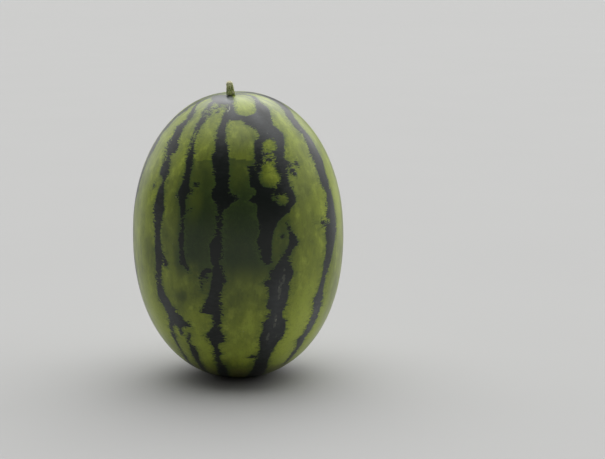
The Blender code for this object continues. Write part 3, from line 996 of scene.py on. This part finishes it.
class MELON_OT_make_fruit(bpy.types.Operator):
    """Make the whole fruit with its stripes, in place of its solid"""

    bl_idname = "melon.make_fruit"
    bl_label = "Make Fruit"

    def execute(self, context):
        settings = context.scene.melon_fruit
        seat, normal = stalk_seat(settings)
        fruit = grown(
            "rind",
            fruit_form,
            {
                "Width": settings.width,
                "Length": settings.length,
                "Middle Height": middle_height(settings),
                "Upper Power": UPPER_POWER,
                "Lower Power": LOWER_POWER,
                "Lobes": float(LOBES),
                "Lobe Depth": settings.lobe_depth,
                "Stalk Offset": Vector(settings.stalk_offset),
                "Seat": seat,
                "Seat Normal": normal,
                "Dimple Radius": DIMPLE_RADIUS,
                "Dimple Depth": settings.dimple_depth,
                "Scar Radius": SCAR_RADIUS,
                "Scar Depth": settings.scar_depth,
                "Unevenness": RIND_DENTS,
                "Sides": settings.sides,
                "Rings": settings.rings,
            },
            rind_material(settings),
        )
        paint_rind(fruit.data, settings)
        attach(fruit, "root")
        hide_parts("fruit")
        return {"FINISHED"}


class MELON_OT_make_stalk(bpy.types.Operator):
    """Make the stalk's stub with its down, in place of its solid"""

    bl_idname = "melon.make_stalk"
    bl_label = "Make Stalk"

    def execute(self, context):
        settings = context.scene.melon_stalk
        seat, normal = stalk_seat(context.scene.melon_fruit)
        left = normal.cross(Vector((0, 1, 0))).normalized()
        stalk = grown(
            "stalk_stub",
            stalk_form,
            {
                "Foot": seat + normal * (STALK_CLEARANCE - context.scene.melon_fruit.dimple_depth),
                "Axis": normal,
                "Left": left,
                "Back": normal.cross(left),
                "Length": settings.length,
                "Foot Radius": settings.foot_radius,
                "Tip Radius": settings.tip_radius,
                "Tip Worn": STALK_TIP_WORN,
                "Cut Share": STALK_CUT_SHARE,
                "Bend": STALK_BEND,
                "Ribs": float(STALK_RIBS),
                "Rib Depth": settings.rib_depth,
                "Knobs": settings.knobs,
                "Sides": STALK_SIDES,
                "Rings": STALK_ROWS,
            },
            stalk_material(settings),
        )
        down = grown(
            "stalk_down",
            down_form,
            {
                "Stalk": stalk,
                "Length": settings.down,
                "Thickness": HAIR_THICKNESS,
                "Density": settings.down_density,
                "Highest": HIGHEST_HAIR,
                "Seed": HAIR_SEED,
            },
            down_material(settings),
        )
        for piece in (stalk, down):
            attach(piece, "root")
        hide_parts("stalk")
        return {"FINISHED"}


class MELON_OT_make_stage(bpy.types.Operator):
    """Make the floor, the studio's light and the camera"""

    bl_idname = "melon.make_stage"
    bl_label = "Make Stage"

    def execute(self, context):
        settings = context.scene.melon_stage
        scene = context.scene
        scene.view_settings.view_transform = "Standard"
        floor = bpy.data.objects.new("floor", floor_mesh())
        scene.collection.objects.link(floor)
        material, tree, shader = principled("floor")
        grain = noise(tree, node(tree, "ShaderNodeTexCoord").outputs["Object"], 3.0, 4.0)
        paler = [min(1.0, part * 1.03) for part in settings.floor]
        tree.links.new(mixed(tree, grain, settings.floor, paler), shader.inputs["Base Color"])
        shader.inputs["Roughness"].default_value = 0.9
        shader.inputs["Specular IOR Level"].default_value = 0.2
        floor.data.materials.append(material)
        studio_light(scene, settings)
        add_camera(scene, settings)
        return {"FINISHED"}


def floor_mesh():
    """A level square floor, whose far rim rises a little so that it hides the horizon."""
    corners = ((-1, -1), (1, -1), (1, 1), (-1, 1))
    vertices = [(x * reach, y * reach, height) for reach, height in FLOOR_SQUARES for x, y in corners]
    faces = [(0, 1, 2, 3)]
    for inner in range(0, len(vertices) - 4, 4):
        for side in range(4):
            here, after = inner + side, inner + (side + 1) % 4
            faces.append((here, here + 4, after + 4, after))
    mesh = bpy.data.meshes.new("floor")
    mesh.from_pydata(vertices, [], faces)
    return mesh


def studio_light(scene, settings):
    """Soft white light from softboxes above, behind and at the sides, with dim walls between them."""
    world = bpy.data.worlds.new("studio")
    scene.world = world
    world.use_nodes = True
    tree = world.node_tree
    background = tree.nodes["Background"]
    background.inputs["Color"].default_value = (1.0, 1.0, 1.0, 1.0)
    direction = node(tree, "ShaderNodeTexCoord").outputs["Generated"]
    strength = settings.dusk
    for middle, core, rim, brightness in SOFTBOXES:
        towards = vectors(tree, "DOT_PRODUCT", direction, Vector(middle).normalized())
        share = ramp(tree, towards, math.cos(math.radians(rim)), math.cos(math.radians(core)))
        strength = maths(tree, "MULTIPLY_ADD", share, brightness * settings.light, strength)
    tree.links.new(strength, background.inputs["Strength"])


def add_camera(scene, settings):
    """The camera, turned so that the fruit's middle falls on its place in the frame."""
    pixels = LENS / SENSOR * FRAME_SIZE[0]
    right = (FRUIT_IN_FRAME[0] - FRAME_SIZE[0] / 2) / pixels
    up = (FRAME_SIZE[1] / 2 - FRUIT_IN_FRAME[1]) / pixels
    level = settings.distance * math.cos(settings.elevation)
    drop = settings.distance * math.sin(settings.elevation)
    ahead = settings.distance / math.sqrt(1 + right * right + up * up)
    turn = math.asin(-right * ahead / level)
    tilt = math.atan2(-drop, level * math.cos(turn)) - math.atan(up)
    camera = bpy.data.objects.new("camera", bpy.data.cameras.new("camera"))
    camera.data.lens = LENS
    camera.data.sensor_width = SENSOR
    camera.data.clip_end = CAMERA_REACH
    camera.location = Vector((0, 0, middle_height(scene.melon_fruit))) + Vector((0.0, -level, drop))
    camera.rotation_euler = (math.pi / 2 + tilt, 0.0, -turn)
    scene.collection.objects.link(camera)
    scene.camera = camera


class MELON_PT_pieces(bpy.types.Panel):
    """Lists the pieces of the melon"""

    bl_label = "Melon"
    bl_space_type = "VIEW_3D"
    bl_region_type = "UI"
    bl_category = "Melon"

    def draw(self, context):
        for settings_name, operator in STEPS:
            box = self.layout.box()
            settings = getattr(context.scene, settings_name)
            for name in settings.__annotations__:
                box.prop(settings, name)
            box.operator(operator)


STEPS = (
    ("melon_fruit", "melon.make_fruit"),
    ("melon_stalk", "melon.make_stalk"),
    ("melon_stage", "melon.make_stage"),
)
SETTINGS = {"melon_fruit": FruitSettings, "melon_stalk": StalkSettings, "melon_stage": StageSettings}
OPERATORS = (MELON_OT_make_fruit, MELON_OT_make_stalk, MELON_OT_make_stage)
CLASSES = (*SETTINGS.values(), *OPERATORS, MELON_PT_pieces)


def register():
    for cls in CLASSES:
        bpy.utils.register_class(cls)
    for name, group in SETTINGS.items():
        setattr(bpy.types.Scene, name, PointerProperty(type=group))


def unregister():
    for name in SETTINGS:
        delattr(bpy.types.Scene, name)
    for cls in reversed(CLASSES):
        bpy.utils.unregister_class(cls)


def main():
    """Makes every piece in order."""
    register()
    bpy.ops.melon.make_fruit()
    bpy.ops.melon.make_stalk()
    bpy.ops.melon.make_stage()


if __name__ == "__main__":
    main()
